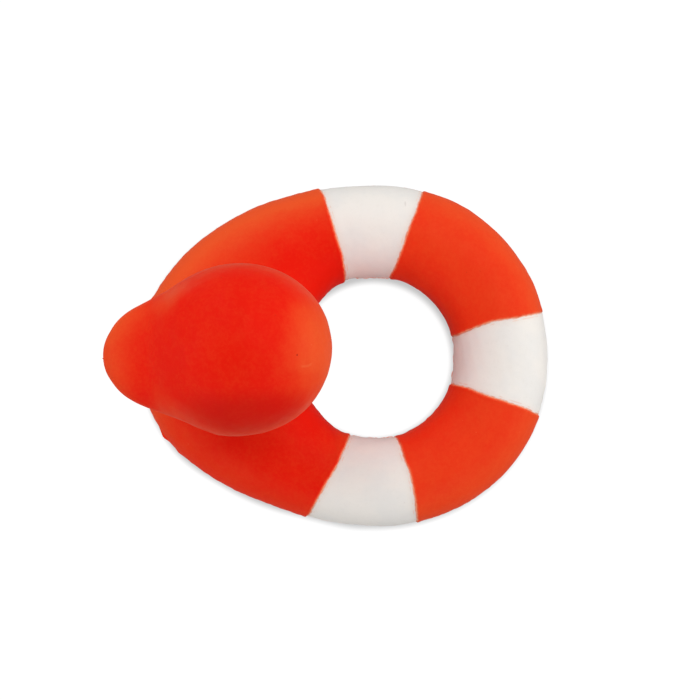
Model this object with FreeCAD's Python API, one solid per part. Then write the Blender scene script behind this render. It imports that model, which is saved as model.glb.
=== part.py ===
"""Hand-sized duck-headed ring float in moulded rubber, in millimetres.

The ring is two hollow half shells bonded at the waist. A hollow head with a broad bill stands on
a short neck at the front of the ring, spigot in socket. Three white bands are let into shallow
recesses round the ring, and a push-in plug seals the casting hole under the breast.
+Z is up, the bill faces -Y, and the ring's hole runs along Z. The origin is on the ground under
the middle of the bounding box.
"""

import FreeCAD
import Part

import math
import os

Vector = FreeCAD.Vector

# ---- driving dimensions ----
HOLE_R = 20.0             # radius of the ring's hole
LEFT_R = 41.5             # reach of the ring from the hole's axis to the duck's left
RIGHT_R = 42.6            # to the right
REAR_R = 43.0             # to the rear
REAR_SQUARENESS = 2.08    # 2 is an ellipse: the rear half is slightly fuller than one
FRONT_R = 57.5            # to the front: the breast under the head
LEFT_FLAT = 1.15          # the breast is this much flatter on its left
HOLE_THICK = 1.1          # the ring is this much thicker into the hole under the head
WAIST_Z = 12.0            # height of the bonded seam, the widest level of the ring
CROWN = 12.0              # height of the ring above the waist at the sides and rear
BREAST_CROWN = 14.5       # the same at the front
BELLY = 12.8              # depth of the moulded section below the waist, before the flat base
WALL = 2.6                # rubber wall

NECK_Y = -34.0            # neck axis, from the hole's axis
NECK_R = 10.8             # outer radius at the neck joint
NECK_TOP = 33.6           # height of the neck joint
NECK_STEEPNESS = 3.2      # rise of the neck's side for each millimetre inwards
NECK_BLEND = 8.0          # softness of the fillet between neck and breast
NECK_EXTRA_WALL = 1.6     # the neck's wall as a multiple of the rest
SOCKET_R = 8.0
SOCKET_DEPTH = 5.0
SPIGOT_PLAY = 0.05
HEAD_BORE_R = 6.3
HEAD_FLOOR_T = 2.5        # flat floor of the head around the bore

HEAD_REAR_Y = -12.1       # back of the head, from the hole's axis
BILL_TIP_Y = -65.2        # tip of the bill
HEAD_TURN = 3.4           # the head looks a little to its left, in degrees

BAND_T = 0.9              # thickness of a white band
BAND_SUNK = 0.3           # how far its face lies below the red surface
BAND_GLUE = 0.05          # glue line under a band
BAND_GAP = 0.25           # groove along each edge of a band
BAND_LIFT = 0.1           # the bands stop this far above the ground
HOLE_FLAT = 0.6           # the hole is flattened by this much across each band

# Bearings of the two edges of each band, each as (outside the ring, in the hole). A bearing is
# an angle about the hole's axis, in degrees: 0 is the front, 90 the left, 180 the rear.
BANDS = {
    "white_band_left": ((67.4, 73.3), (104.2, 104.6)),
    "white_band_right": ((-106.0, -101.0), (-71.9, -69.9)),
    "white_band_rear": ((160.3, 161.9), (195.0, 194.0)),
}

PLUG_Y = -38.5            # plug axis, from the hole's axis
PLUG_SHANK_R = 4.0
PLUG_HEAD_R = 6.0
PLUG_HEAD_T = 0.9
PLUG_BEAD_R = 4.8
PLUG_BEAD_T = 1.2
PLUG_PLAY = 0.03

# The hole's axis stands here, so that the bounding box is centred on the origin.
HOLE_X = (RIGHT_R - LEFT_R) / 2
HOLE_Y = -(BILL_TIP_Y + REAR_R - BAND_SUNK) / 2
FAR = 200.0               # size of the blocks that trim the parts

# ---- head profiles: station angle 0 at the back of the head, 180 at the tip of the bill ----
STATIONS = [0, 45, 67, 77, 90, 106, 115, 126, 145, 160, 180]
HALF_WIDTH = [23.3, 22.0, 20.95, 20.3, 19.4, 17.2, 16.0, 15.5, 15.9, 15.5, 14.8]
RISE = [22.5, 21.6, 20.9, 20.5, 19.0, 15.6, 12.7, 9.2, 8.2, 8.8, 9.4]
DROP = [22.0, 21.0, 20.3, 20.0, 19.0, 16.2, 12.5, 8.6, 7.6, 8.0, 8.6]
CENTRE_Z = [50.0, 50.0, 50.0, 50.0, 50.0, 49.4, 48.5, 47.4, 46.6, 46.3, 46.2]


def smoothstep(x):
    x = min(1.0, max(0.0, x))
    return x * x * (3 - 2 * x)


def smooth_max(a, b, softness):
    """The larger of a and b, with a round fillet where they are nearly equal."""
    h = max(softness - abs(a - b), 0.0) / softness
    return max(a, b) + h * h * softness / 4


def outer_reach(bearing):
    """Plan radius of the ring on the outside."""
    c = math.cos(math.radians(bearing))
    s = math.sin(math.radians(bearing))
    lengthwise = FRONT_R if c > 0 else REAR_R
    sideways = LEFT_R if s > 0 else RIGHT_R
    power = 2.0 if c > 0 else REAR_SQUARENESS
    flat = LEFT_FLAT * smoothstep(1 - abs(bearing - 54.0) / 36.0)
    return (abs(c / lengthwise) ** power + abs(s / sideways) ** power) ** (-1 / power) - flat


def inner_reach(bearing):
    """Plan radius of the hole, which is a little flattened across each band."""
    wrapped = (bearing + 180) % 360 - 180
    reach = HOLE_R - HOLE_THICK * smoothstep((68 - abs(wrapped)) / 28)
    for (start, _), (stop, _) in BANDS.values():
        off_middle = (bearing - (start + stop) / 2 + 180) % 360 - 180
        reach -= HOLE_FLAT * smoothstep(1 - abs(off_middle) / 24.0)
    return reach


def neck_height(x, y, inset):
    """Height of the neck's flank over a point in plan, with y from the hole's axis. The neck
    runs on a little way past its joint, so that it can be trimmed flat."""
    off_axis = math.hypot(x, y - NECK_Y)
    flank = NECK_TOP + NECK_STEEPNESS * (NECK_R - NECK_EXTRA_WALL * inset - off_axis)
    return -smooth_max(-flank, inset - NECK_TOP - 6.0, NECK_BLEND)


def ring_point(bearing, turn, inset):
    """A point of the ring's surface, moved into the rubber by inset. turn goes round the
    section: 0 outside at the waist, 90 at the crown, 180 in the hole, 270 underneath."""
    outer = outer_reach(bearing) - inset
    inner = inner_reach(bearing) + inset
    middle = (outer + inner) / 2
    half = (outer - inner) / 2
    up = math.sin(math.radians(turn))
    plan = middle + half * math.cos(math.radians(turn))
    x = plan * math.sin(math.radians(bearing))
    y = -plan * math.cos(math.radians(bearing))
    if up < 0:
        return Vector(x, y, WAIST_Z + (BELLY - inset) * up)
    breast = smoothstep(1 - abs(bearing) / 75.0)
    crown = CROWN + (BREAST_CROWN - CROWN) * breast - inset
    z = WAIST_Z + crown * up
    neck = smooth_max(z, neck_height(x, y, inset), NECK_BLEND) - z
    return Vector(x, y, z + neck * smoothstep(up / 0.35))


def spline_at(values, at):
    """Catmull-Rom value of a head profile at a station angle."""
    k = max(i for i in range(len(STATIONS) - 1) if STATIONS[i] <= at)
    lo, hi = STATIONS[k], STATIONS[k + 1]
    before = max(k - 1, 0)
    after = min(k + 2, len(STATIONS) - 1)
    slope_lo = (values[k + 1] - values[before]) / (hi - STATIONS[before]) * (hi - lo)
    slope_hi = (values[after] - values[k]) / (STATIONS[after] - lo) * (hi - lo)
    t = (at - lo) / (hi - lo)
    return (
        values[k] * (2 * t**3 - 3 * t**2 + 1)
        + slope_lo * (t**3 - 2 * t**2 + t)
        + values[k + 1] * (3 * t**2 - 2 * t**3)
        + slope_hi * (t**3 - t**2)
    )


def head_point(station, turn, inset):
    """A point of the head's surface, moved into the rubber by inset. turn goes round the
    section: 0 at the left, 90 on top, 180 at the right, 270 underneath."""
    rear = HEAD_REAR_Y - inset
    tip = BILL_TIP_Y + inset
    y = (rear + tip) / 2 + (rear - tip) / 2 * math.cos(math.radians(station))
    size = math.sin(math.radians(station))
    up = math.sin(math.radians(turn))
    tall = spline_at(RISE if up >= 0 else DROP, station) - inset
    wide = spline_at(HALF_WIDTH, station) - inset
    x = wide * size * math.cos(math.radians(turn))
    return Vector(x, y, spline_at(CENTRE_Z, station) + tall * size * up)


# ---- surfaces and solids from those points ----
def curve_poles(points, at, closed):
    """Poles, multiplicities and knots of the cubic through points at the parameters at."""
    curve = Part.BSplineCurve()
    if max(p.distanceToPoint(points[0]) for p in points) < 1e-6:
        raise ValueError("the points coincide")
    curve.interpolate(Points=points, PeriodicFlag=closed, Parameters=at)
    return curve


def surface(point, u_at, v_at, u_closed, v_closed):
    """The bicubic surface through point(u, v). A closed direction's parameters end with the
    first one again, a full turn later."""
    us = u_at[:-1] if u_closed else u_at
    vs = v_at[:-1] if v_closed else v_at
    grid = [[point(u, v) for v in vs] for u in us]
    whole = next(r for r in grid if r[0].distanceToPoint(r[len(r) // 2]) > 1e-3)
    v_curve = curve_poles(whole, v_at, v_closed)
    rows = []
    for row in grid:
        if row[0].distanceToPoint(row[len(row) // 2]) < 1e-3:
            rows.append([row[0]] * v_curve.NbPoles)    # the whole row is one point, a pole
        else:
            rows.append(curve_poles(row, v_at, v_closed).getPoles())
    columns = []
    for j in range(v_curve.NbPoles):
        u_curve = curve_poles([row[j] for row in rows], u_at, u_closed)
        columns.append(u_curve.getPoles())
    poles = [[column[i] for column in columns] for i in range(u_curve.NbPoles)]
    made = Part.BSplineSurface()
    made.buildFromPolesMultsKnots(
        poles,
        u_curve.getMultiplicities(),
        v_curve.getMultiplicities(),
        u_curve.getKnots(),
        v_curve.getKnots(),
        u_closed,
        v_closed,
        3,
        3,
    )
    return made.toShape()


def flat_face(edges):
    return Part.makeFace([Part.Wire(e) for e in edges], "Part::FaceMakerBullseye")


def solid_of(faces):
    skin = Part.Shell(faces)
    skin.sewShape()
    solid = Part.Solid(skin)
    if solid.Volume < 0:
        solid.reverse()
    return solid


def angles(start, stop, step):
    count = round((stop - start) / step)
    return [start + (stop - start) * i / count for i in range(count + 1)]


def half_ring(inset, upper):
    """Half of the ring, from the waist up or down, as one solid without its cavity."""
    bearings = angles(-180, -60, 7.5) + angles(-60, 60, 3.0)[1:] + angles(60, 180, 7.5)[1:]
    turns = angles(0, 180, 5.0) if upper else angles(180, 360, 9.0)
    skin = surface(lambda b, t: ring_point(b, t, inset), bearings, turns, True, False)
    rims = [e for e in skin.Edges if not e.isSeam(skin)]
    return solid_of([skin, flat_face(rims)])


def ring_stretch(start, stop, inset):
    """A stretch of the whole ring between two bearings, as one solid bent bar."""
    turns = angles(0, 360, 7.5)
    bearings = angles(start, stop, 4.0)
    skin = surface(lambda b, t: ring_point(b, t, inset), bearings, turns, False, True)
    ends = [e for e in skin.Edges if not e.isSeam(skin)]
    return solid_of([skin] + [flat_face([e]) for e in ends])


def head_solid(inset):
    """The whole head and bill, without its cavity."""
    stations = angles(0, 180, 6.0)
    upper = angles(0, 180, 10.0)
    lower = angles(180, 360, 10.0)
    return solid_of([
        surface(lambda s, t: head_point(s, t, inset), stations, turns, False, False)
        for turns in (upper, lower)
    ])


def disc(radius, bottom, top, y):
    return Part.makeCylinder(radius, top - bottom, Vector(0, y, bottom))


def block_below(z):
    return Part.makeBox(FAR, FAR, FAR, Vector(-FAR / 2, -FAR / 2, z - FAR))


def block_above(z):
    return Part.makeBox(FAR, FAR, FAR, Vector(-FAR / 2, -FAR / 2, z))


# ---- the pieces ----
def band_sleeve(edges, outer_inset, inner_inset):
    """A sleeve round the ring's section that reaches past both edges of a band."""
    start = edges[0][0] - 9.0
    stop = edges[1][0] + 9.0
    outside = ring_stretch(start, stop, outer_inset)
    return outside.cut(ring_stretch(start, stop, inner_inset))


def band_wedge(edges, grow):
    """An upright block over a band's outline in plan, grown sideways past both edges."""
    corners = []
    for (outside, in_hole), side in zip(edges, (-1, 1)):
        far = plan_point(outer_reach(outside), outside)
        near = plan_point(HOLE_R, in_hole)
        along = (far - near).normalize()
        across = Vector(0, 0, 1).cross(along) * (side * grow)
        corners.append([near - along * 4 + across, far + along * 4 + across])
    outline = [corners[0][0], corners[0][1], corners[1][1], corners[1][0], corners[0][0]]
    return Part.Face(Part.makePolygon(outline)).extrude(Vector(0, 0, FAR))


def plan_point(reach, bearing):
    angle = math.radians(bearing)
    return Vector(reach * math.sin(angle), -reach * math.cos(angle), -FAR / 2)


def band(edges):
    """A white band: a thin sleeve all the way round the ring's section."""
    sleeve = band_sleeve(edges, BAND_SUNK, BAND_SUNK + BAND_T)
    return sleeve.common(band_wedge(edges, 0)).cut(block_below(BAND_LIFT))


def band_recess(edges):
    """What is cut from the shells so that a band fits with a groove at each edge."""
    sleeve = band_sleeve(edges, -1.0, BAND_SUNK + BAND_T + BAND_GLUE)
    return sleeve.common(band_wedge(edges, BAND_GAP))


def ring_upper_shell(recesses):
    shell = half_ring(0, True).cut(half_ring(WALL, True))
    shell = shell.cut(block_above(NECK_TOP))
    shell = shell.cut(disc(SOCKET_R, NECK_TOP - SOCKET_DEPTH, FAR, NECK_Y))
    return shell.cut(recesses)


def ring_lower_shell(recesses):
    shell = half_ring(0, False).cut(half_ring(WALL, False))
    shell = shell.cut(block_below(0))
    shell = shell.cut(disc(PLUG_SHANK_R, -FAR, WAIST_Z, PLUG_Y))
    shell = shell.cut(disc(PLUG_HEAD_R + PLUG_PLAY, -FAR, PLUG_HEAD_T, PLUG_Y))
    return shell.cut(recesses)


def head_shell():
    cavity = head_solid(WALL).cut(block_below(NECK_TOP + HEAD_FLOOR_T))
    shell = head_solid(0).cut(cavity).cut(block_below(NECK_TOP))
    spigot_r = SOCKET_R - SPIGOT_PLAY
    spigot = disc(spigot_r, NECK_TOP - SOCKET_DEPTH + 0.1, NECK_TOP, NECK_Y)
    bore = disc(HEAD_BORE_R, 0, NECK_TOP + HEAD_FLOOR_T + 1, NECK_Y)
    shell = shell.fuse(spigot).cut(bore)
    shell.rotate(Vector(0, NECK_Y, 0), Vector(0, 0, 1), HEAD_TURN)
    return shell


def sealing_plug():
    """Flat head in a counterbore, shank through the wall and a bead inside that holds it."""
    inner_face = WAIST_Z - (BELLY - WALL)
    head = disc(PLUG_HEAD_R, BAND_LIFT, PLUG_HEAD_T - PLUG_PLAY, PLUG_Y)
    shank = disc(PLUG_SHANK_R - PLUG_PLAY, BAND_LIFT, inner_face + PLUG_BEAD_T, PLUG_Y)
    bead_bottom = inner_face + 0.1
    bead = Part.makeCone(
        PLUG_BEAD_R, PLUG_SHANK_R - 0.6, PLUG_BEAD_T, Vector(0, PLUG_Y, bead_bottom)
    )
    return head.fuse([shank, bead]).removeSplitter()


def main():
    os.makedirs("parts", exist_ok=True)
    recesses = [band_recess(edges) for edges in BANDS.values()]
    pieces = {name: band(edges) for name, edges in BANDS.items()}
    pieces["ring_upper_shell"] = ring_upper_shell(recesses)
    pieces["ring_lower_shell"] = ring_lower_shell(recesses)
    pieces["head_shell"] = head_shell()
    pieces["sealing_plug"] = sealing_plug()
    for name, shape in pieces.items():
        shape.translate(Vector(HOLE_X, HOLE_Y, 0))
        box = shape.optimalBoundingBox()
        print(
            name,
            shape.ShapeType,
            "valid" if shape.isValid() else "INVALID",
            f"solids {len(shape.Solids)} faces {len(shape.Faces)} volume {shape.Volume:.1f}",
            f"x {box.XMin:.2f} {box.XMax:.2f} y {box.YMin:.2f} {box.YMax:.2f}",
            f"z {box.ZMin:.2f} {box.ZMax:.2f}",
        )
        shape.exportStep(f"parts/{name}.step")


main()
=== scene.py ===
import math

import bmesh
import bpy
import numpy as np
from mathutils import Matrix, Vector


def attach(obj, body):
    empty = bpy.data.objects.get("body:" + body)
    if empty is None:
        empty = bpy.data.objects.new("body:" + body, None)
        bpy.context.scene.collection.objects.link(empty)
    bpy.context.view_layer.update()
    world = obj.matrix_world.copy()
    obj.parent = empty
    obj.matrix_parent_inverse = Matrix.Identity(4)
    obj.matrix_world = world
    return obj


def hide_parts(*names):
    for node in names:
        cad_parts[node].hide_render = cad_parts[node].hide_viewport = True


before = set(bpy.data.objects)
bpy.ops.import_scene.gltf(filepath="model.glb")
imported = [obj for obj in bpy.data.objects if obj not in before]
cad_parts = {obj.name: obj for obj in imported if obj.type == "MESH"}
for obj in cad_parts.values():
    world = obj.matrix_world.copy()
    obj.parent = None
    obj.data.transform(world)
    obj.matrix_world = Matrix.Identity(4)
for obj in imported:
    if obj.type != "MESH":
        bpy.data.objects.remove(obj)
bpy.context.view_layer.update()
MM = 0.001

# ---- the ring and the head, in millimetres, by the CAD model's own formulas ----
# Places are measured from the hole's axis. A bearing is an angle about that axis, in degrees:
# 0 is the front, 90 the duck's left, 180 the rear. A turn goes round the ring's section: 0 is
# outside at the waist, 90 the crown, 180 in the hole, 270 underneath.
HOLE_R = 20.0
LEFT_R = 41.5             # reach of the ring to the duck's left
RIGHT_R = 42.6
REAR_R = 43.0
REAR_SQUARENESS = 2.08    # 2 is an ellipse
FRONT_R = 57.5            # the breast under the head
LEFT_FLAT = 1.15          # the breast is this much flatter on its left
LEFT_FLAT_AT = 54.0       # about this bearing
LEFT_FLAT_SPREAD = 36.0
HOLE_THICK = 1.1          # the ring is this much thicker into the hole under the head
HOLE_THICK_END = 68.0     # up to this bearing
HOLE_THICK_FADE = 28.0
WAIST_Z = 12.0            # height of the bonded seam, the widest level of the ring
CROWN = 12.0              # height of the ring above the waist at the sides and rear
BREAST_CROWN = 14.5       # the same at the front
BREAST_SPREAD = 75.0
BELLY = 12.8              # depth of the moulded section below the waist, before the flat base
WALL = 2.6

NECK_Y = -34.0
NECK_R = 10.8             # outer radius at the neck joint
NECK_TOP = 33.6           # height of the neck joint
NECK_OVERRUN = 6.0        # the neck is made this much too tall, then cut flat at its joint
NECK_CUT_R = 24.0         # reach of that cut
NECK_STEEPNESS = 3.2      # rise of the neck's side for each millimetre inwards
NECK_BLEND = 8.0          # softness of the fillet between neck and breast
NECK_EXTRA_WALL = 1.6     # the neck's wall as a multiple of the rest
NECK_FADE_IN = 0.35       # share of the crown's height over which the neck sets in
SOCKET_R = 8.0
SOCKET_DEPTH = 5.0
SPIGOT_R = 7.95
HEAD_BORE_R = 6.3
HEAD_FLOOR_T = 2.5        # flat floor of the head around the bore
HEAD_REAR_Y = -12.1
BILL_TIP_Y = -65.2
HEAD_TURN = 3.4           # the head looks a little to its left, in degrees

BAND_T = 0.9
BAND_SUNK = 0.3           # how far a band's face lies below the red surface
BAND_GLUE = 0.05
BAND_GAP = 0.25           # groove along each edge of a band
BAND_LIFT = 0.1           # the bands stop this far above the ground
HOLE_FLAT = 0.6           # the hole is flattened by this much across each band
HOLE_FLAT_SPREAD = 24.0
# Bearings of a band's two edges, each as (outside the ring, in the hole).
BANDS = {
    "white_band_right": ((-106.0, -101.0), (-71.9, -69.9)),
    "white_band_left": ((67.4, 73.3), (104.2, 104.6)),
    "white_band_rear": ((160.3, 161.9), (195.0, 194.0)),
}

PLUG_Y = -38.5
PLUG_SHANK_R = 4.0
PLUG_HEAD_R = 6.0
PLUG_HEAD_T = 0.9
PLUG_BEAD_R = 4.8
PLUG_BEAD_T = 1.2
PLUG_PLAY = 0.03

# Head profiles by station angle: 0 at the back of the head, 180 at the tip of the bill.
STATIONS = [0, 45, 67, 77, 90, 106, 115, 126, 145, 160, 180]
HALF_WIDTH = [23.3, 22.0, 20.95, 20.3, 19.4, 17.2, 16.0, 15.5, 15.9, 15.5, 14.8]
RISE = [22.5, 21.6, 20.9, 20.5, 19.0, 15.6, 12.7, 9.2, 8.2, 8.8, 9.4]
DROP = [22.0, 21.0, 20.3, 20.0, 19.0, 16.2, 12.5, 8.6, 7.6, 8.0, 8.6]
CENTRE_Z = [50.0, 50.0, 50.0, 50.0, 50.0, 49.4, 48.5, 47.4, 46.6, 46.3, 46.2]

HOLE_X = (RIGHT_R - LEFT_R) / 2
HOLE_Y = -(BILL_TIP_Y + REAR_R - BAND_SUNK) / 2
RECESS = BAND_SUNK + BAND_T + BAND_GLUE


def smoothstep(x):
    x = np.clip(x, 0, 1)
    return x * x * (3 - 2 * x)


def hill(x, width):
    """A smooth hill, 1 high where x is 0."""
    return np.exp(-((x / width) ** 2))


def smooth_max(a, b, softness):
    h = np.maximum(softness - np.abs(a - b), 0) / softness
    return np.maximum(a, b) + h * h * softness / 4


def wrap(bearing):
    return (bearing + 180) % 360 - 180


def outer_reach(bearing):
    c, s = np.cos(np.radians(bearing)), np.sin(np.radians(bearing))
    lengthwise, sideways = np.where(c > 0, FRONT_R, REAR_R), np.where(s > 0, LEFT_R, RIGHT_R)
    power = np.where(c > 0, 2.0, REAR_SQUARENESS)
    flat = LEFT_FLAT * smoothstep(1 - np.abs(wrap(bearing) - LEFT_FLAT_AT) / LEFT_FLAT_SPREAD)
    return (np.abs(c / lengthwise) ** power + np.abs(s / sideways) ** power) ** (-1 / power) - flat


def inner_reach(bearing):
    under_head = smoothstep((HOLE_THICK_END - np.abs(wrap(bearing))) / HOLE_THICK_FADE)
    reach = HOLE_R - HOLE_THICK * under_head
    for (start, _), (stop, _) in BANDS.values():
        off_middle = wrap(bearing - (start + stop) / 2)
        reach = reach - HOLE_FLAT * smoothstep(1 - np.abs(off_middle) / HOLE_FLAT_SPREAD)
    return reach


def ring_point(bearing, turn, inset):
    """Points of the ring's surface, moved into the rubber by inset, as an array of x, y, z."""
    outer = outer_reach(bearing) - inset
    inner = inner_reach(bearing) + inset
    up = np.sin(np.radians(turn))
    plan = (outer + inner) / 2 + (outer - inner) / 2 * np.cos(np.radians(turn))
    x = plan * np.sin(np.radians(bearing))
    y = -plan * np.cos(np.radians(bearing))
    breast = smoothstep(1 - np.abs(wrap(bearing)) / BREAST_SPREAD)
    crown = CROWN + (BREAST_CROWN - CROWN) * breast - inset
    z = WAIST_Z + np.where(up < 0, BELLY - inset, crown) * up
    off_axis = np.hypot(x, y - NECK_Y)
    flank = NECK_TOP + NECK_STEEPNESS * (NECK_R - NECK_EXTRA_WALL * inset - off_axis)
    flank = -smooth_max(-flank, inset - NECK_TOP - NECK_OVERRUN, NECK_BLEND)
    neck = smooth_max(z, flank, NECK_BLEND) - z
    z = z + neck * smoothstep(up / NECK_FADE_IN)
    return np.stack([x, y, z], axis=-1)


def profile(values, at):
    """Catmull-Rom values of a head profile at station angles."""
    values, knots = np.array(values, float), np.array(STATIONS, float)
    last = len(knots) - 1
    k = np.clip(np.searchsorted(knots, at, side="right") - 1, 0, last - 1)
    before, after = np.maximum(k - 1, 0), np.minimum(k + 2, last)
    span = knots[k + 1] - knots[k]
    slope_lo = (values[k + 1] - values[before]) / (knots[k + 1] - knots[before]) * span
    slope_hi = (values[after] - values[k]) / (knots[after] - knots[k]) * span
    t = (at - knots[k]) / span
    return (
        values[k] * (2 * t**3 - 3 * t**2 + 1)
        + slope_lo * (t**3 - 2 * t**2 + t)
        + values[k + 1] * (3 * t**2 - 2 * t**3)
        + slope_hi * (t**3 - t**2)
    )


def head_point(station, turn, inset):
    """Points of the head's surface, before the head is turned on its neck."""
    rear, tip = HEAD_REAR_Y - inset, BILL_TIP_Y + inset
    y = (rear + tip) / 2 + (rear - tip) / 2 * np.cos(np.radians(station))
    size, up = np.sin(np.radians(station)), np.sin(np.radians(turn))
    tall = np.where(up >= 0, profile(RISE, station), profile(DROP, station)) - inset
    x = (profile(HALF_WIDTH, station) - inset) * size * np.cos(np.radians(turn))
    z = profile(CENTRE_Z, station) + tall * size * up
    return np.stack(np.broadcast_arrays(x, y, z), axis=-1)


def turned_head(points):
    """Turns points about the neck's axis, towards the duck's left."""
    a = math.radians(HEAD_TURN)
    x, y = points[..., 0], points[..., 1] - NECK_Y
    turned = points.copy()
    turned[..., 0] = x * math.cos(a) - y * math.sin(a)
    turned[..., 1] = x * math.sin(a) + y * math.cos(a) + NECK_Y
    return turned


# ---- small unevenness of a hand-finished moulding ----
def waves(points, wavelength, seed, count=14):
    """Smooth noise of about unit size at points, from plane waves in seeded directions."""
    rng = np.random.default_rng(seed)
    total = np.zeros(points.shape[:-1])
    for _ in range(count):
        direction = rng.normal(size=3)
        direction /= np.linalg.norm(direction)
        k = 2 * np.pi / (wavelength * rng.uniform(0.7, 1.5))
        total += np.sin(points @ direction * k + rng.uniform(0, 2 * np.pi))
    return total / math.sqrt(count / 2)


def waver(turn, seed):
    """How far a band's hand-set edge strays, in millimetres, round the section."""
    rng = np.random.default_rng(seed)
    total = np.zeros_like(turn)
    for cycles, size in ((2, 0.16), (3, 0.12), (5, 0.08), (9, 0.05), (17, 0.02)):
        total += size * np.sin(np.radians(turn) * cycles + rng.uniform(0, 2 * np.pi))
    return total


# ---- meshes from grids of points ----
def make_object(name, points, faces, attributes=None):
    mesh = bpy.data.meshes.new(name)
    points = (np.asarray(points) + [HOLE_X, HOLE_Y, 0]) * MM
    mesh.from_pydata(points.tolist(), [], faces)
    for key, values in (attributes or {}).items():
        layer = mesh.attributes.new(key, "FLOAT", "POINT")
        layer.data.foreach_set("value", np.asarray(values, dtype=np.float32).ravel())
    obj = bpy.data.objects.new(name, mesh)
    bpy.context.scene.collection.objects.link(obj)
    return obj


def grid_faces(columns, rows, close_columns=True, close_rows=True):
    faces = []
    for i in range(columns if close_columns else columns - 1):
        for j in range(rows if close_rows else rows - 1):
            k, m = (i + 1) % columns, (j + 1) % rows
            faces.append((i * rows + j, k * rows + j, k * rows + m, i * rows + m))
    return faces


def end_faces(columns, rows):
    """Fans from a grid's first and last columns to the two points that follow the grid."""
    faces, count = [], columns * rows
    for j in range(rows):
        k = (j + 1) % rows
        faces.append((count, k, j))
        faces.append((count + 1, count - rows + j, count - rows + k))
    return faces


def outward(obj):
    """Makes the faces of a closed mesh point outwards."""
    bm = bmesh.new()
    bm.from_mesh(obj.data)
    bmesh.ops.recalc_face_normals(bm, faces=bm.faces)
    if bm.calc_volume(signed=True) < 0:
        bmesh.ops.reverse_faces(bm, faces=bm.faces)
    bm.to_mesh(obj.data)
    bm.free()


def smooth(obj, degrees=38):
    obj.data.shade_smooth()
    obj.data.set_sharp_from_angle(angle=math.radians(degrees))


def cylinder(name, radius, bottom, top, y, sides=96):
    """A closed upright cylinder."""
    angle = np.arange(sides) * 2 * np.pi / sides
    x, y = radius * np.cos(angle), y + radius * np.sin(angle)
    rings = [np.stack([x, y, np.full(sides, z)], 1) for z in (bottom, top)]
    faces = [(i, (i + 1) % sides, sides + (i + 1) % sides, sides + i) for i in range(sides)]
    faces.append(tuple(range(sides))[::-1])
    faces.append(tuple(range(sides, 2 * sides)))
    obj = make_object(name, np.concatenate(rings), faces)
    outward(obj)
    return obj


def boolean(obj, other, operation):
    """Applies a boolean with other, which is then gone."""
    modifier = obj.modifiers.new("boolean", "BOOLEAN")
    modifier.operation = operation
    modifier.solver = "EXACT"
    modifier.object = other
    graph = bpy.context.evaluated_depsgraph_get()
    result = bpy.data.meshes.new_from_object(obj.evaluated_get(graph), depsgraph=graph)
    obj.modifiers.remove(modifier)
    obj.data = result
    bpy.data.objects.remove(other)


def cut(obj, name, radius, bottom, top, y):
    """Takes an upright cylinder out of obj."""
    boolean(obj, cylinder(name, radius, bottom, top, y), "DIFFERENCE")


# ---- the ring's grid: columns of points that follow the bands' edges ----
EDGES = {}
# How far each edge bows towards greater bearings, and where, from 0 in the hole to 1 outside.
BOWS = {
    "white_band_left": ((-0.45, 0.55), (0.5, 0.6)),
    "white_band_right": ((-0.25, 0.6), (-0.5, 0.75)),
    "white_band_rear": ((-0.4, 0.25), (0.5, 0.3)),
}
for band_name, band_edges in BANDS.items():
    for end, (outside, in_hole) in zip(("start", "stop"), band_edges):
        a, b = math.radians(outside), math.radians(in_hole)
        reach = float(outer_reach(outside))
        far = np.array([reach * math.sin(a), -reach * math.cos(a)])
        near = np.array([HOLE_R * math.sin(b), -HOLE_R * math.cos(b)])
        along = np.linspace(-0.2, 1.2, 141)[:, None]
        bow, middle = BOWS[band_name][("start", "stop").index(end)]
        across = np.array([near[1] - far[1], far[0] - near[0]]) / np.linalg.norm(far - near)
        line = near + (far - near) * along
        line = line + across * bow * smoothstep(1 - np.abs(along - middle) / 0.5)
        bearings = np.degrees(np.arctan2(line[:, 0], -line[:, 1]))
        bearings = (bearings - outside + 180) % 360 - 180 + outside
        EDGES[band_name, end] = (np.hypot(line[:, 0], line[:, 1]), bearings, len(EDGES))


def plan_radius(turns, reach=REAR_R):
    """Distance from the hole's axis of places round the ring's section."""
    return HOLE_R + (reach - HOLE_R) * (1 + np.cos(np.radians(turns))) / 2


def edge_column(edge, away, turns):
    """Bearings of a column of points that keeps a distance from a band's edge."""
    radii, bearings, seed = EDGES[edge]
    plan = plan_radius(turns, float(outer_reach(bearings[-1])))
    shift = away + waver(turns, 40 + seed)
    return np.interp(plan, radii, bearings) + np.degrees(shift / plan)


def region(first_edge, last_edge, distances, spacing, turns, turn_back=0.0):
    """Columns from one band edge to the next: close together beside the edges, then even.
    Returns their bearings and their distance from the nearest edge."""
    first = [edge_column(first_edge, d, turns) - turn_back for d in distances]
    last = [edge_column(last_edge, -d, turns) for d in reversed(distances)]
    width = math.radians(float(np.mean(last[0] - first[-1]))) * REAR_R
    count = max(2, round(width / spacing))
    steps = np.arange(1, count) / count
    middle = [first[-1] * (1 - t) + last[0] * t for t in steps]
    away = np.minimum(steps, 1 - steps) * width + distances[-1]
    return np.array(first + middle + last), np.array([*distances, *away, *distances[::-1]])


RED_STEPS = [BAND_GAP, 0.31, 0.4, 0.55, 0.75, 1.05, 1.5, 2.1]
RECESS_STEPS = [(0.06, 0.16), (0.15, 0.23), (0.243, 0.28), (0.246, RECESS)]
WHITE_STEPS = [0.0, 0.05, 0.13, 0.25, 0.42, 0.65, 1.0, 1.5]
RED_SPANS = [
    (("white_band_rear", "stop"), ("white_band_right", "start"), 360.0),
    (("white_band_right", "stop"), ("white_band_left", "start"), 0.0),
    (("white_band_left", "stop"), ("white_band_rear", "start"), 0.0),
]


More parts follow.
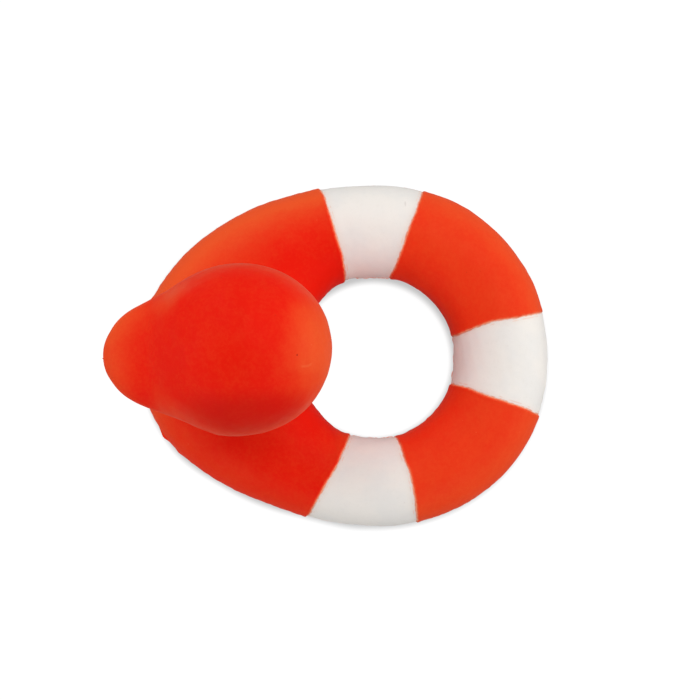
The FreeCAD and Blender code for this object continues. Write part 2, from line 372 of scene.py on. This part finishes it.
LIP = 0.09                    # the raised lip beside a band's groove
SEAM = 0.09                   # height of the trimmed seam at the waist
SEAM_ON_BANDS_IN_HOLE = 0.26
SEAM_DEGREES = 1.3            # its half width, round the section
NUBS = [(20.5, 0.55, 1.6), (26.0, 0.25, 1.2), (-14.5, 0.45, 1.0)]  # bearing, height, degrees wide


def red_lip(away):
    """How deep the red surface lies beside a band: a rounded corner, then a low raised lip."""
    return LIP * hill(away - BAND_GAP, 0.09) - LIP * hill(away - 0.8, 0.55)


def white_lip(away):
    """The same for a band's own surface."""
    return BAND_SUNK + 0.02 * hill(away, 0.12) - 0.04 * hill(away - 0.5, 0.3)


def flash(bearings, turns, points, seed, in_hole):
    """Height of the trimmed moulding seam at the waist, with a few nubs left on the outside."""
    off = np.minimum(np.abs(turns % 180), 180 - np.abs(turns % 180))
    ridge = np.where(np.cos(np.radians(turns)) < 0, in_hole, SEAM)
    height = ridge * np.clip(0.6 + 0.5 * waves(points, 2.0, seed), 0, 1.4)
    for at, size, width in NUBS:
        outside = np.cos(np.radians(turns)) > 0
        height = height + outside * size * hill(wrap(bearings - at), width)
    return height * hill(off, SEAM_DEGREES)


def finish_skin(bearings, turns, inset, seed, in_hole=SEAM):
    """Places a skin's points, with the seam and the moulding's unevenness."""
    plain = ring_point(bearings, turns, inset)
    uneven = 0.075 * waves(plain, 13.0, seed) + 0.02 * waves(plain, 3.2, seed + 1)
    raised = uneven * 0.8 + flash(bearings, turns, plain, seed + 2, in_hole)
    return ring_point(bearings, turns, inset - raised)


def half_shell(name, upper):
    """Half of the ring as a closed hollow shell, with the bands' recesses sunk into it."""
    start = 0.0 if upper else 180.0
    fine = [0.0, 0.5, 1.0, 1.6, 2.4]
    turns = np.array(fine + list(np.linspace(4.5, 175.5, 77)) + [180 - t for t in fine[::-1]])
    turns = turns + start
    spans = [region(a, b, RED_STEPS, 0.5, turns, back) for a, b, back in RED_SPANS]
    following = [spans[1][0][0], spans[2][0][0], spans[0][0][0] + 360]
    columns, insets, edge = [], [], []
    for (bearings, away), next_bearings in zip(spans, following):
        columns += [*bearings]
        insets += [*red_lip(away)]
        edge += [*away]
        span = np.radians(next_bearings - bearings[-1]) * plan_radius(turns)
        for from_edge, depth in RECESS_STEPS:
            columns.append(bearings[-1] + (next_bearings - bearings[-1]) * from_edge / span)
            insets.append(depth)
            edge.append(BAND_GAP - from_edge)
        for t in np.linspace(0.1, 0.9, 9):
            columns.append(bearings[-1] * (1 - t) + next_bearings * t)
            insets.append(RECESS)
            edge.append(0.0)
        for from_edge, depth in RECESS_STEPS[::-1]:
            columns.append(next_bearings - (next_bearings - bearings[-1]) * from_edge / span)
            insets.append(depth)
            edge.append(BAND_GAP - from_edge)
    columns = np.array(columns)
    grid_turns = np.broadcast_to(turns, columns.shape)
    grid_insets = np.broadcast_to(np.array(insets)[:, None], columns.shape)
    skin = finish_skin(columns, grid_turns, grid_insets, 7)
    inner_turns = np.linspace(start + 180, start, 25)
    inner_columns = np.array([np.interp(inner_turns, turns, c) for c in columns])
    inner = ring_point(inner_columns, np.broadcast_to(inner_turns, inner_columns.shape), WALL)
    if upper:
        inner[..., 2] = np.minimum(inner[..., 2], NECK_TOP - 2.0)
    else:
        skin[..., 2] = np.maximum(skin[..., 2], 0.0)
    points = np.concatenate([skin, inner], axis=1)
    distance = np.repeat(np.array(edge)[:, None], points.shape[1], axis=1)
    faces = grid_faces(points.shape[0], points.shape[1])
    obj = make_object(name, points.reshape(-1, 3), faces, {"edge": distance})
    outward(obj)
    return obj


def white_band(name):
    """A thin closed sleeve with softly rounded edges."""
    turns = np.linspace(0, 360, 193)[:-1]
    turns = np.sort(np.concatenate([turns, [0.5, 1.0, 179.0, 179.5, 180.5, 181.0, 359.0, 359.5]]))
    bearings, away = region((name, "start"), (name, "stop"), WHITE_STEPS, 0.45, turns)
    insets = white_lip(away)
    grid_turns = np.broadcast_to(turns, bearings.shape)
    grid_insets = np.broadcast_to(insets[:, None], bearings.shape)
    skin = finish_skin(bearings, grid_turns, grid_insets, 31, SEAM_ON_BANDS_IN_HOLE)
    skin[..., 2] = np.maximum(skin[..., 2], BAND_LIFT)
    back = np.linspace(1, 0, 12)[:, None]
    inner_bearings = bearings[0] * (1 - back) + bearings[-1] * back
    inner_turns = np.broadcast_to(turns, inner_bearings.shape)
    inner = ring_point(inner_bearings, inner_turns, BAND_SUNK + BAND_T)
    points = np.concatenate([skin, inner], axis=0)
    distance = np.concatenate([away, np.zeros(len(inner))])
    distance = np.repeat(distance[:, None], points.shape[1], axis=1)
    faces = grid_faces(points.shape[0], points.shape[1])
    obj = make_object(name, points.reshape(-1, 3), faces, {"edge": distance})
    outward(obj)
    return obj


# ---- the head ----
EYE_AT = (98.0, -8.0)  # station angle, and degrees above the head's middle
EYE_R = 2.3
EYE_GROOVE = 0.55
CREASE = 0.4           # depth of the mouth line
CREASE_W = 0.42


def head_skin(inset, stations, turns, detailed):
    """The head's surface as closed mesh data: points and faces, with a point at each end."""
    station, turn = np.meshgrid(stations, turns, indexing="ij")
    points = head_point(station, turn, inset)
    if detailed:
        up = np.sin(np.radians(turn))
        side = np.abs((turn + 90) % 180 - 90)
        uneven = 0.11 * waves(points, 16.0, 11) + 0.02 * waves(points, 3.4, 12)
        crease_z = 0.5 * smoothstep((station - 120) / 25)
        off = up * profile(RISE, station) * np.sin(np.radians(station)) - crease_z
        crease = CREASE * hill(off, CREASE_W) * smoothstep((station - 112) / 16)
        crease *= 1 - 0.4 * smoothstep((station - 172) / 8)
        depth = inset - uneven * 0.8 + crease
        for sign in (1, -1):
            at = 90 - sign * (90 - EYE_AT[1])
            eye = head_point(np.array(EYE_AT[0]), np.array(at), inset)
            r = np.linalg.norm(points - eye, axis=-1) / EYE_R
            depth = depth + EYE_GROOVE * hill(r - 1, 0.17)
            depth = depth + 0.12 * smoothstep(1 - r) - 0.16 * hill(r - 1.45, 0.22)
        points = head_point(station, turn, depth)
    rows = len(turns)
    first = head_point(np.array(0.0), np.array(0.0), inset)
    last = head_point(np.array(180.0), np.array(0.0), inset)
    faces = grid_faces(len(stations), rows, close_columns=False) + end_faces(len(stations), rows)
    return np.concatenate([points.reshape(-1, 3), [first], [last]]), faces


def head():
    stations = np.linspace(0, 180, 241)[1:-1]
    turns = np.linspace(0, 360, 241)[:-1]
    points, faces = head_skin(0.0, stations, turns, True)
    obj = make_object("duck_head", turned_head(points), faces)
    outward(obj)
    cut(obj, "below_head", NECK_CUT_R, NECK_TOP - 12, NECK_TOP, NECK_Y)
    stations, turns = stations[3::4], turns[::4]
    points, faces = head_skin(WALL, stations, turns, False)
    points[:, 2] = np.maximum(points[:, 2], NECK_TOP + HEAD_FLOOR_T)
    cavity = make_object("cavity", turned_head(points), faces)
    outward(cavity)
    boolean(obj, cavity, "DIFFERENCE")
    bottom = NECK_TOP - SOCKET_DEPTH + 0.1
    boolean(obj, cylinder("spigot", SPIGOT_R, bottom, NECK_TOP + 1, NECK_Y), "UNION")
    cut(obj, "bore", HEAD_BORE_R, 20, NECK_TOP + 4, NECK_Y)
    return obj


def plug():
    """The plug's head has a rounded rim and a shallow thumb dimple."""
    inner_face = WAIST_Z - (BELLY - WALL)
    outline = [
        (0.0, 0.32), (1.2, 0.31), (2.4, 0.26), (3.4, 0.17), (4.2, 0.11), (5.0, BAND_LIFT),
        (5.6, 0.12), (5.85, 0.2), (5.97, 0.34), (PLUG_HEAD_R, 0.5),
        (PLUG_HEAD_R, PLUG_HEAD_T - PLUG_PLAY), (PLUG_SHANK_R - PLUG_PLAY, PLUG_HEAD_T - PLUG_PLAY),
        (PLUG_SHANK_R - PLUG_PLAY, inner_face + 0.1), (PLUG_BEAD_R, inner_face + 0.1),
        (PLUG_BEAD_R - 0.1, inner_face + 0.4), (PLUG_SHANK_R - 0.6, inner_face + 0.1 + PLUG_BEAD_T),
        (0.0, inner_face + 0.1 + PLUG_BEAD_T),
    ]
    sides = 96
    angle = np.arange(sides) * 2 * np.pi / sides
    inside = outline[1:-1]
    points = [[r * math.cos(a), PLUG_Y + r * math.sin(a), z] for r, z in inside for a in angle]
    points += [[0, PLUG_Y, outline[0][1]], [0, PLUG_Y, outline[-1][1]]]
    faces = grid_faces(len(inside), sides, close_columns=False) + end_faces(len(inside), sides)
    obj = make_object("seal_plug", points, faces)
    outward(obj)
    return obj


# ---- materials ----
class Nodes:
    """Short forms for building one material's nodes."""

    def __init__(self, name):
        self.material = bpy.data.materials.new(name)
        self.material.use_nodes = True
        self.tree = self.material.node_tree
        self.shader = self.tree.nodes["Principled BSDF"]
        coordinates = self.tree.nodes.new("ShaderNodeTexCoord")
        self.place, self.normal = coordinates.outputs["Object"], coordinates.outputs["Normal"]

    def node(self, kind, inputs=None, **settings):
        made = self.tree.nodes.new(kind)
        for key, value in settings.items():
            setattr(made, key, value)
        for key, value in (inputs or {}).items():
            if isinstance(value, bpy.types.NodeSocket):
                self.tree.links.new(value, made.inputs[key])
            else:
                made.inputs[key].default_value = value
        return made

    def noise(self, size_mm, detail=2.0, roughness=0.5, distortion=0.0):
        inputs = {"Vector": self.place, "Scale": 1 / (size_mm * MM), "Detail": detail}
        inputs |= {"Roughness": roughness, "Distortion": distortion}
        return self.node("ShaderNodeTexNoise", inputs).outputs["Fac"]

    def spots(self, spacing_mm, radius_mm, share):
        """1 in small round spots on a share of evenly scattered places, 0 elsewhere."""
        inputs = {"Vector": self.place, "Scale": 1 / (spacing_mm * MM)}
        cells = self.node("ShaderNodeTexVoronoi", inputs)
        radius = radius_mm / spacing_mm
        near = self.ramp(cells.outputs["Distance"], radius, radius * 0.5)
        pick = self.node("ShaderNodeSeparateColor", {"Color": cells.outputs["Color"]})
        chosen = self.math("LESS_THAN", pick.outputs["Red"], share)
        return self.math("MULTIPLY", near, chosen)

    def ramp(self, value, low, high, to_low=0.0, to_high=1.0):
        inputs = {"Value": value, "From Min": low, "From Max": high}
        inputs |= {"To Min": to_low, "To Max": to_high}
        made = self.node("ShaderNodeMapRange", inputs, interpolation_type="SMOOTHSTEP")
        return made.outputs["Result"]

    def math(self, operation, a, b=0.0):
        made = self.node("ShaderNodeMath", operation=operation)
        for socket, value in zip(made.inputs, (a, b)):
            if isinstance(value, bpy.types.NodeSocket):
                self.tree.links.new(value, socket)
            else:
                socket.default_value = value
        return made.outputs["Value"]

    def mix(self, factor, a, b):
        made = self.node("ShaderNodeMix", data_type="RGBA")
        for socket, value in zip((made.inputs[0], made.inputs[6], made.inputs[7]), (factor, a, b)):
            if isinstance(value, bpy.types.NodeSocket):
                self.tree.links.new(value, socket)
            elif isinstance(value, (int, float)):
                socket.default_value = value
            else:
                socket.default_value = (*value, 1)
        return made.outputs[2]

    def bump(self, height, distance_mm, strength=1.0, onto=None):
        inputs = {"Height": height, "Distance": distance_mm * MM, "Strength": strength}
        if onto is not None:
            inputs["Normal"] = onto
        return self.node("ShaderNodeBump", inputs).outputs["Normal"]

    def edge_mm(self):
        return self.node("ShaderNodeAttribute", attribute_name="edge").outputs["Fac"]

    def vector(self, operation, a, b=(0, 0, 0), result="Vector"):
        made = self.node("ShaderNodeVectorMath", operation=operation)
        for socket, value in zip(made.inputs, (a, b)):
            if isinstance(value, bpy.types.NodeSocket):
                self.tree.links.new(value, socket)
            else:
                socket.default_value = value
        return made.outputs[result]

    def along(self, axis):
        """Position along an axis, in millimetres."""
        return self.vector("DOT_PRODUCT", self.place, [a / MM for a in axis], "Value")

    def facing(self, direction):
        """1 where the surface faces in a direction, 0 where it is square to it."""
        return self.vector("DOT_PRODUCT", self.normal, direction, "Value")

    def facing_out(self):
        """How far the ring's surface faces away from the hole's axis."""
        from_axis = self.vector("SUBTRACT", self.place, (HOLE_X * MM, HOLE_Y * MM, 0))
        level = self.vector("MULTIPLY", from_axis, (1, 1, 0))
        return self.facing(self.vector("NORMALIZE", level))

    def near(self, centre, radius, fade=1.0, stretch=(1, 1, 1)):
        """1 within a radius of a place, in millimetres, fading to 0 over the next fade * radius."""
        off = self.vector("SUBTRACT", self.place, [c * MM for c in centre])
        off = self.vector("DIVIDE", off, [radius * MM * k for k in stretch])
        return self.ramp(self.vector("LENGTH", off, result="Value"), 1, 1 + fade, 1, 0)

    def add(self, *values):
        total = values[0]
        for value in values[1:]:
            total = self.math("ADD", total, value)
        return total

    def times(self, *values):
        total = values[0]
        for value in values[1:]:
            total = self.math("MULTIPLY", total, value)
        return total

    def set(self, **inputs):
        for key, value in inputs.items():
            socket = self.shader.inputs[key.replace("_", " ")]
            if isinstance(value, bpy.types.NodeSocket):
                self.tree.links.new(value, socket)
            else:
                socket.default_value = value


DEEP_RED = (0.82, 0.0095, 0.0016)
ORANGE_RED = (0.85, 0.088, 0.018)


def ring_orange_and_highlight(n):
    """Where the ring is more orange: towards the rear, and painted highlight on the front-right
    shoulder and on the sides facing outwards, less on the duck's left; the sides facing into the
    hole get a deeper red, painted shade.
    """
    rear = n.ramp(n.along((0, 1, 0)), -2, 20)
    front = n.math("SUBTRACT", 1.0, rear)
    out = n.facing_out()
    # Painted highlight on the shoulder and the outward sides; painted shade, a deeper red, facing
    # into the hole.
    shoulder = n.ramp(n.facing((-0.75, -0.66, 0)), -0.15, 1.0, 0.0, 0.78)
    left_side = n.ramp(n.facing((1, 0, 0)), 0.2, 0.8, 1.0, 0.55)
    rim = n.times(n.ramp(out, 0.35, 1.0, 0.0, 0.4), left_side)
    inside = n.ramp(out, -1.0, -0.1, -0.14, 0.0)
    return n.add(n.times(rear, 0.42), n.times(front, 0.05), n.times(front, shoulder), rim, inside)


def head_orange_and_highlight(n):
    """Painted highlight on the head, as a more orange red: on the back of the head, the tip and the
    right side of the bill, and a painted sheen along the head's outline; a little more orange at
    the cheeks too.
    """
    sideways = n.math("ABSOLUTE", n.facing((1, 0, 0)))
    # Painted highlight: the back of the head, the bill's tip and right side; painted sheen: the
    # outline.
    back = n.ramp(n.facing((0, 1, 0)), 0.3, 0.78, 0.0, 0.9)
    back = n.times(back, n.ramp(sideways, 0.12, 0.75, 1.0, 0.12))
    tip = n.ramp(n.along((0, -1, 0)), 43.5, 54.0, 0.0, 0.62)
    bill = n.ramp(n.along((0, -1, 0)), 40.0, 45.0, 0.0, 0.4)
    right = n.times(bill, n.ramp(n.facing((-1, 0, 0)), 0.0, 0.6))
    steep = n.facing((0, 0, -1))
    rim = n.times(n.ramp(steep, -0.6, -0.1, 0.0, 0.3), n.ramp(steep, 0.3, 0.8, 1.0, 0.2))
    left_cheek = n.times(n.near((13.0, -39.0, 54.0), 1.0, 6.0), 0.4)
    cheeks = n.add(n.near((-11.0, -38.5, 55.5), 1.0, 6.0), left_cheek)
    return n.add(0.04, back, tip, right, rim, n.times(cheeks, 0.4))


def head_dust_and_sheen(n):
    """A pale dusting in the hollows beside the bill, and a painted sheen low on the head's sides.
    """
    places = ((-13.0, -36.0, 56.0), (15.0, -36.0, 54.5))
    cheeks = n.add(*[n.near(at, 0.5, 9.0, (1.0, 2.0, 1.2)) for at in places])
    # Painted sheen, pale, where the head's sides turn away downwards.
    steep = n.facing((0, 0, -1))
    low = n.times(n.ramp(steep, -0.7, 0.05), n.ramp(steep, 0.3, 0.8, 1.0, 0.3))
    patchy = n.ramp(n.noise(4.5, 4.0, 0.6), 0.32, 0.68, 0.35, 1.0)
    return n.times(n.add(n.times(cheeks, 0.3), n.times(low, 0.3)), patchy)


def head_marks_and_shade(n, colour):
    """Painted shade as a darker red on the left side, and a short pale scuff and a pinhole on the
    back.
    """
    # Painted shade: a darker red patch on the head's left side.
    side = n.near((17.0, -18.5, 62.0), 3.2, 1.9, (1.0, 3.0, 1.4))
    colour = n.mix(n.times(side, 0.45), colour, (0.5, 0.004, 0.002))
    arc = n.vector("SUBTRACT", n.place, [c * MM for c in (-0.2, -7.0, 65.2)])
    arc = n.math("SUBTRACT", n.vector("LENGTH", arc, result="Value"), 5.4 * MM)
    arc = n.ramp(n.math("ABSOLUTE", arc), 0.1 * MM, 0.45 * MM, 1.0, 0.0)
    arc = n.times(arc, n.near((5.0, -7.0, 63.6), 1.2, 0.8))
    colour = n.mix(n.times(arc, 0.3), colour, (0.86, 0.17, 0.06))
    return n.mix(n.times(n.near((2.5, -9.4, 65.7), 0.13, 1.2), 0.8), colour, (0.35, 0.005, 0.002))


def red_rubber(name, orange, dust_and_sheen=None, marks_and_shade=None, with_edges=False):
    n = Nodes(name)
    cloud = n.ramp(n.noise(8.0, 4.0, 0.6), 0.3, 0.7, -0.04, 0.05)
    streaks = n.ramp(n.noise(2.6, 3.0, 0.6, 0.4), 0.35, 0.65, -0.02, 0.02)
    fine = n.noise(0.8, 4.0, 0.65)
    speckle = n.ramp(fine, 0.35, 0.7, -0.05, 0.07)
    # The orange mask is partly painted highlight and sheen.
    colour = n.mix(n.add(orange(n), cloud, streaks, speckle), DEEP_RED, ORANGE_RED)
    # A pale dusting and a painted sheen, from the mask given.
    if dust_and_sheen is not None:
        colour = n.mix(dust_and_sheen(n), colour, (0.73, 0.11, 0.055))
    pores = n.spots(2.2, 0.1, 0.16)
    colour = n.mix(n.times(pores, 0.7), colour, (0.42, 0.008, 0.003))
    grains = n.spots(2.7, 0.12, 0.14)
    colour = n.mix(n.times(grains, 0.4), colour, (0.88, 0.26, 0.13))
    # Marks and painted shade, from the function given.
    if marks_and_shade is not None:
        colour = marks_and_shade(n, colour)
    if with_edges:
        edge = n.edge_mm()
        broken = n.ramp(n.noise(1.3, 3.0, 0.6), 0.34, 0.6, 0.2, 1.0)
        rim = n.times(n.ramp(edge, 0.3, 0.75, 1.0, 0.0), broken, 0.55)
        colour = n.mix(rim, colour, (0.88, 0.17, 0.07))
        groove = n.ramp(edge, 0.2, 0.27, 1.0, 0.0)
        groove = n.times(groove, n.ramp(broken, 0.2, 1.0, 0.6, 1.0), 0.85)
        colour = n.mix(groove, colour, (0.88, 0.36, 0.21))
    roughness = n.ramp(n.noise(2.4, 3.0), 0.3, 0.7, 0.52, 0.64)
    normal = n.bump(fine, 0.04, 0.5)
    normal = n.bump(n.noise(3.0, 2.0), 0.1, 0.4, normal)
    normal = n.bump(n.times(pores, -1.0), 0.08, 0.9, normal)
    n.set(Base_Color=colour, Roughness=roughness, Normal=normal)
    n.set(Sheen_Weight=0.08, Sheen_Roughness=0.35, Sheen_Tint=(1.0, 0.8, 0.6, 1))
    n.set(Specular_IOR_Level=0.05)
    return n.material


def white_rubber(name):
    n = Nodes(name)
    cloud = n.noise(9.0, 3.0, 0.55)
    colour = n.mix(n.ramp(cloud, 0.35, 0.65), (0.83, 0.80, 0.765), (0.87, 0.825, 0.775))
    fine = n.noise(0.8, 4.0, 0.6)
    colour = n.mix(n.ramp(fine, 0.5, 0.8, 0.0, 0.18), colour, (0.72, 0.66, 0.61))
    pores = n.spots(1.9, 0.1, 0.14)
    colour = n.mix(n.times(pores, 0.5), colour, (0.45, 0.34, 0.28))
    hair = n.near((-36.4, 18.4, 21.9), 0.12, 1.0, (4.0, 1.2, 5.0))
    colour = n.mix(n.times(hair, 0.22), colour, (0.38, 0.32, 0.29))
    edge = n.edge_mm()
    broken = n.ramp(n.noise(1.2, 3.0, 0.6), 0.36, 0.62, 0.1, 1.0)
    stain = n.times(n.ramp(edge, 0.1, 0.34, 1.0, 0.0), broken, 0.8)
    colour = n.mix(stain, colour, (0.87, 0.30, 0.15))
    second = n.times(n.ramp(edge, 0.45, 0.6), n.ramp(edge, 0.65, 0.85, 1.0, 0.0))
    second = n.times(second, n.ramp(n.noise(2.6, 2.0, 0.5), 0.5, 0.62, 0.0, 0.4))
    colour = n.mix(second, colour, (0.86, 0.42, 0.28))
    colour = n.mix(n.ramp(edge, 0.2, 2.2, 0.1, 0.0), colour, (0.88, 0.55, 0.45))
    waist = n.math("ABSOLUTE", n.math("SUBTRACT", n.along((0, 0, 1)), WAIST_Z))
    specks = n.ramp(n.noise(0.6, 2.0, 0.5), 0.4, 0.56)
    specks = n.times(specks, n.ramp(n.facing_out(), -0.6, 0.2, 0.85, 0.35))
    stain = n.times(n.ramp(waist, 0.12, 0.34, 1.0, 0.0), specks)
    colour = n.mix(stain, colour, (0.86, 0.22, 0.08))
    roughness = n.ramp(n.noise(2.0, 3.0), 0.3, 0.7, 0.5, 0.62)
    normal = n.bump(fine, 0.04, 0.5)
    normal = n.bump(n.noise(2.6, 2.0), 0.09, 0.4, normal)
    normal = n.bump(n.times(pores, -1.0), 0.08, 0.9, normal)
    n.set(Base_Color=colour, Roughness=roughness, Normal=normal)
    n.set(Sheen_Weight=0.05, Sheen_Roughness=0.5)
    n.set(Specular_IOR_Level=0.12)
    return n.material


# ---- the pieces ----
ring_red = red_rubber("red_rubber_ring", ring_orange_and_highlight, with_edges=True)
head_red = red_rubber("red_rubber_head", head_orange_and_highlight, head_dust_and_sheen, head_marks_and_shade)
band_white = white_rubber("white_rubber_band")


def place(obj, node, material):
    """Shows obj in the CAD node's stead."""
    obj.data.materials.clear()
    obj.data.materials.append(material)
    smooth(obj)
    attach(obj, "root")
    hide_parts(node)


upper = half_shell("ring_upper", True)
cut(upper, "above_neck", NECK_CUT_R, NECK_TOP, NECK_TOP + 9, NECK_Y)
cut(upper, "socket", SOCKET_R, NECK_TOP - SOCKET_DEPTH, NECK_TOP + 9, NECK_Y)
place(upper, "ring_upper_shell", ring_red)

lower = half_shell("ring_lower", False)
cut(lower, "shank_hole", PLUG_SHANK_R, -3, WAIST_Z - 2, PLUG_Y)
cut(lower, "head_seat", PLUG_HEAD_R + PLUG_PLAY, -3, PLUG_HEAD_T, PLUG_Y)
place(lower, "ring_lower_shell", ring_red)

for side in BANDS:
    place(white_band(side), side, band_white)
place(head(), "head_shell", head_red)
place(plug(), "sealing_plug", head_red)


# ---- floor, light and camera ----
def floor():
    """A white floor that glows, with a painted shadow under the ring and close beside it."""
    mesh = bpy.data.meshes.new("floor")
    reach, below = 3.0, -0.05 * MM  # a hair below the ring's flat foot
    corners = [(x * reach, y * reach, below) for x, y in ((-1, -1), (1, -1), (1, 1), (-1, 1))]
    mesh.from_pydata(corners, [], [(0, 1, 2, 3)])
    obj = bpy.data.objects.new("floor", mesh)
    bpy.context.scene.collection.objects.link(obj)
    obj.visible_diffuse = False
    obj.visible_glossy = False
    n = Nodes("floor")
    off = n.vector("SUBTRACT", n.place, ((HOLE_X + 0.2) * MM, (HOLE_Y + 0.6) * MM, 0))
    distance = n.vector("LENGTH", off, result="Value")
    parts = n.node("ShaderNodeSeparateXYZ", {"Vector": off}).outputs
    shares = []
    for part, negative, positive in ((parts["X"], RIGHT_R, LEFT_R), (parts["Y"], FRONT_R, REAR_R)):
        longer = n.math("MULTIPLY", n.math("LESS_THAN", part, 0.0), (negative - positive) * MM)
        share = n.math("DIVIDE", n.math("ABSOLUTE", part), n.math("ADD", longer, positive * MM))
        shares.append(n.math("POWER", share, REAR_SQUARENESS))
    share = n.math("POWER", n.add(*shares), 1 / REAR_SQUARENESS)
    flat = n.times(n.near((38.0, HOLE_Y - 28.0, 0.0), 10.0, 1.6), LEFT_FLAT * MM)
    outside = n.add(n.math("SUBTRACT", distance, n.math("DIVIDE", distance, share)), flat)
    clear = n.math("MAXIMUM", n.math("SUBTRACT", HOLE_R * MM, distance), outside)
    # Painted shadow: the glow dims close beside the ring's outline, and more under it.
    beside = n.ramp(clear, -0.75 * MM, 1.6 * MM, 0.55, 1.0)
    beneath = n.ramp(clear, -7 * MM, -1.5 * MM, 0.35, 1.0)
    n.set(Base_Color=(0.04, 0.04, 0.04, 1), Roughness=0.9, Specular_IOR_Level=0.0)
    n.set(Emission_Color=(1, 1, 1, 1), Emission_Strength=n.times(beside, beneath))
    mesh.materials.append(n.material)


LAMP_DISTANCE = 1.3
LAMP_SIZE = 0.75
LAMPS = [  # degrees from the duck's rear towards its right, degrees above the floor, power
    (45, 58, 5.6), (135, 58, 0.9), (120, 32, 3.8), (300, 32, 4.1), (0, 12, 6.1),
    (60, 10, 2.0), (120, 10, 2.0), (180, 12, 4.8), (230, 10, 4.0), (268, 7, 1.7),
]


def lamps():
    """Soft round lamps set about the toy, strongest from its rear and right."""
    for number, (angle, height, power) in enumerate(LAMPS):
        a, e = math.radians(angle), math.radians(height)
        towards = Vector((-math.sin(a) * math.cos(e), math.cos(a) * math.cos(e), math.sin(e)))
        lamp = bpy.data.lights.new(f"lamp_{number}", "AREA")
        lamp.shape = "DISK"
        lamp.size = LAMP_SIZE
        lamp.energy = power
        obj = bpy.data.objects.new(f"lamp_{number}", lamp)
        obj.location = towards * LAMP_DISTANCE
        obj.rotation_mode = "QUATERNION"
        obj.rotation_quaternion = towards.to_track_quat("Z", "Y")
        bpy.context.scene.collection.objects.link(obj)


def camera():
    """Above the ring, leaning a little to the duck's left and front, with the bill to the left."""
    distance, view_mm = 655.0, 171.9
    aim_back, aim_up = 5.87, 1.79  # the aim lies this far to the bill's side of the hole, and above
    to_left, to_front = math.radians(2.8), math.radians(3.0)
    back = Vector((math.tan(to_left), -math.tan(to_front), 1)).normalized()
    up = back.cross(Vector((0, 1, 0))).normalized()
    right = up.cross(back)
    aim = Vector((HOLE_X, HOLE_Y, WAIST_Z)) - right * aim_back + up * aim_up
    data = bpy.data.cameras.new("camera")
    data.sensor_width = 36
    data.lens = 36 * distance / view_mm
    data.clip_start, data.clip_end = 0.05, 20
    obj = bpy.data.objects.new("camera", data)
    axes = Matrix((right, up, back)).transposed().to_4x4()
    obj.matrix_world = Matrix.Translation((aim + back * distance) * MM) @ axes
    bpy.context.scene.collection.objects.link(obj)
    bpy.context.scene.camera = obj


floor()
lamps()
camera()

world = bpy.data.worlds.new("studio")
world.use_nodes = True
world.node_tree.nodes["Background"].inputs["Color"].default_value = (1, 1, 1, 1)
world.node_tree.nodes["Background"].inputs["Strength"].default_value = 0.24
scene = bpy.context.scene
scene.world = world
scene.view_settings.view_transform = "Standard"
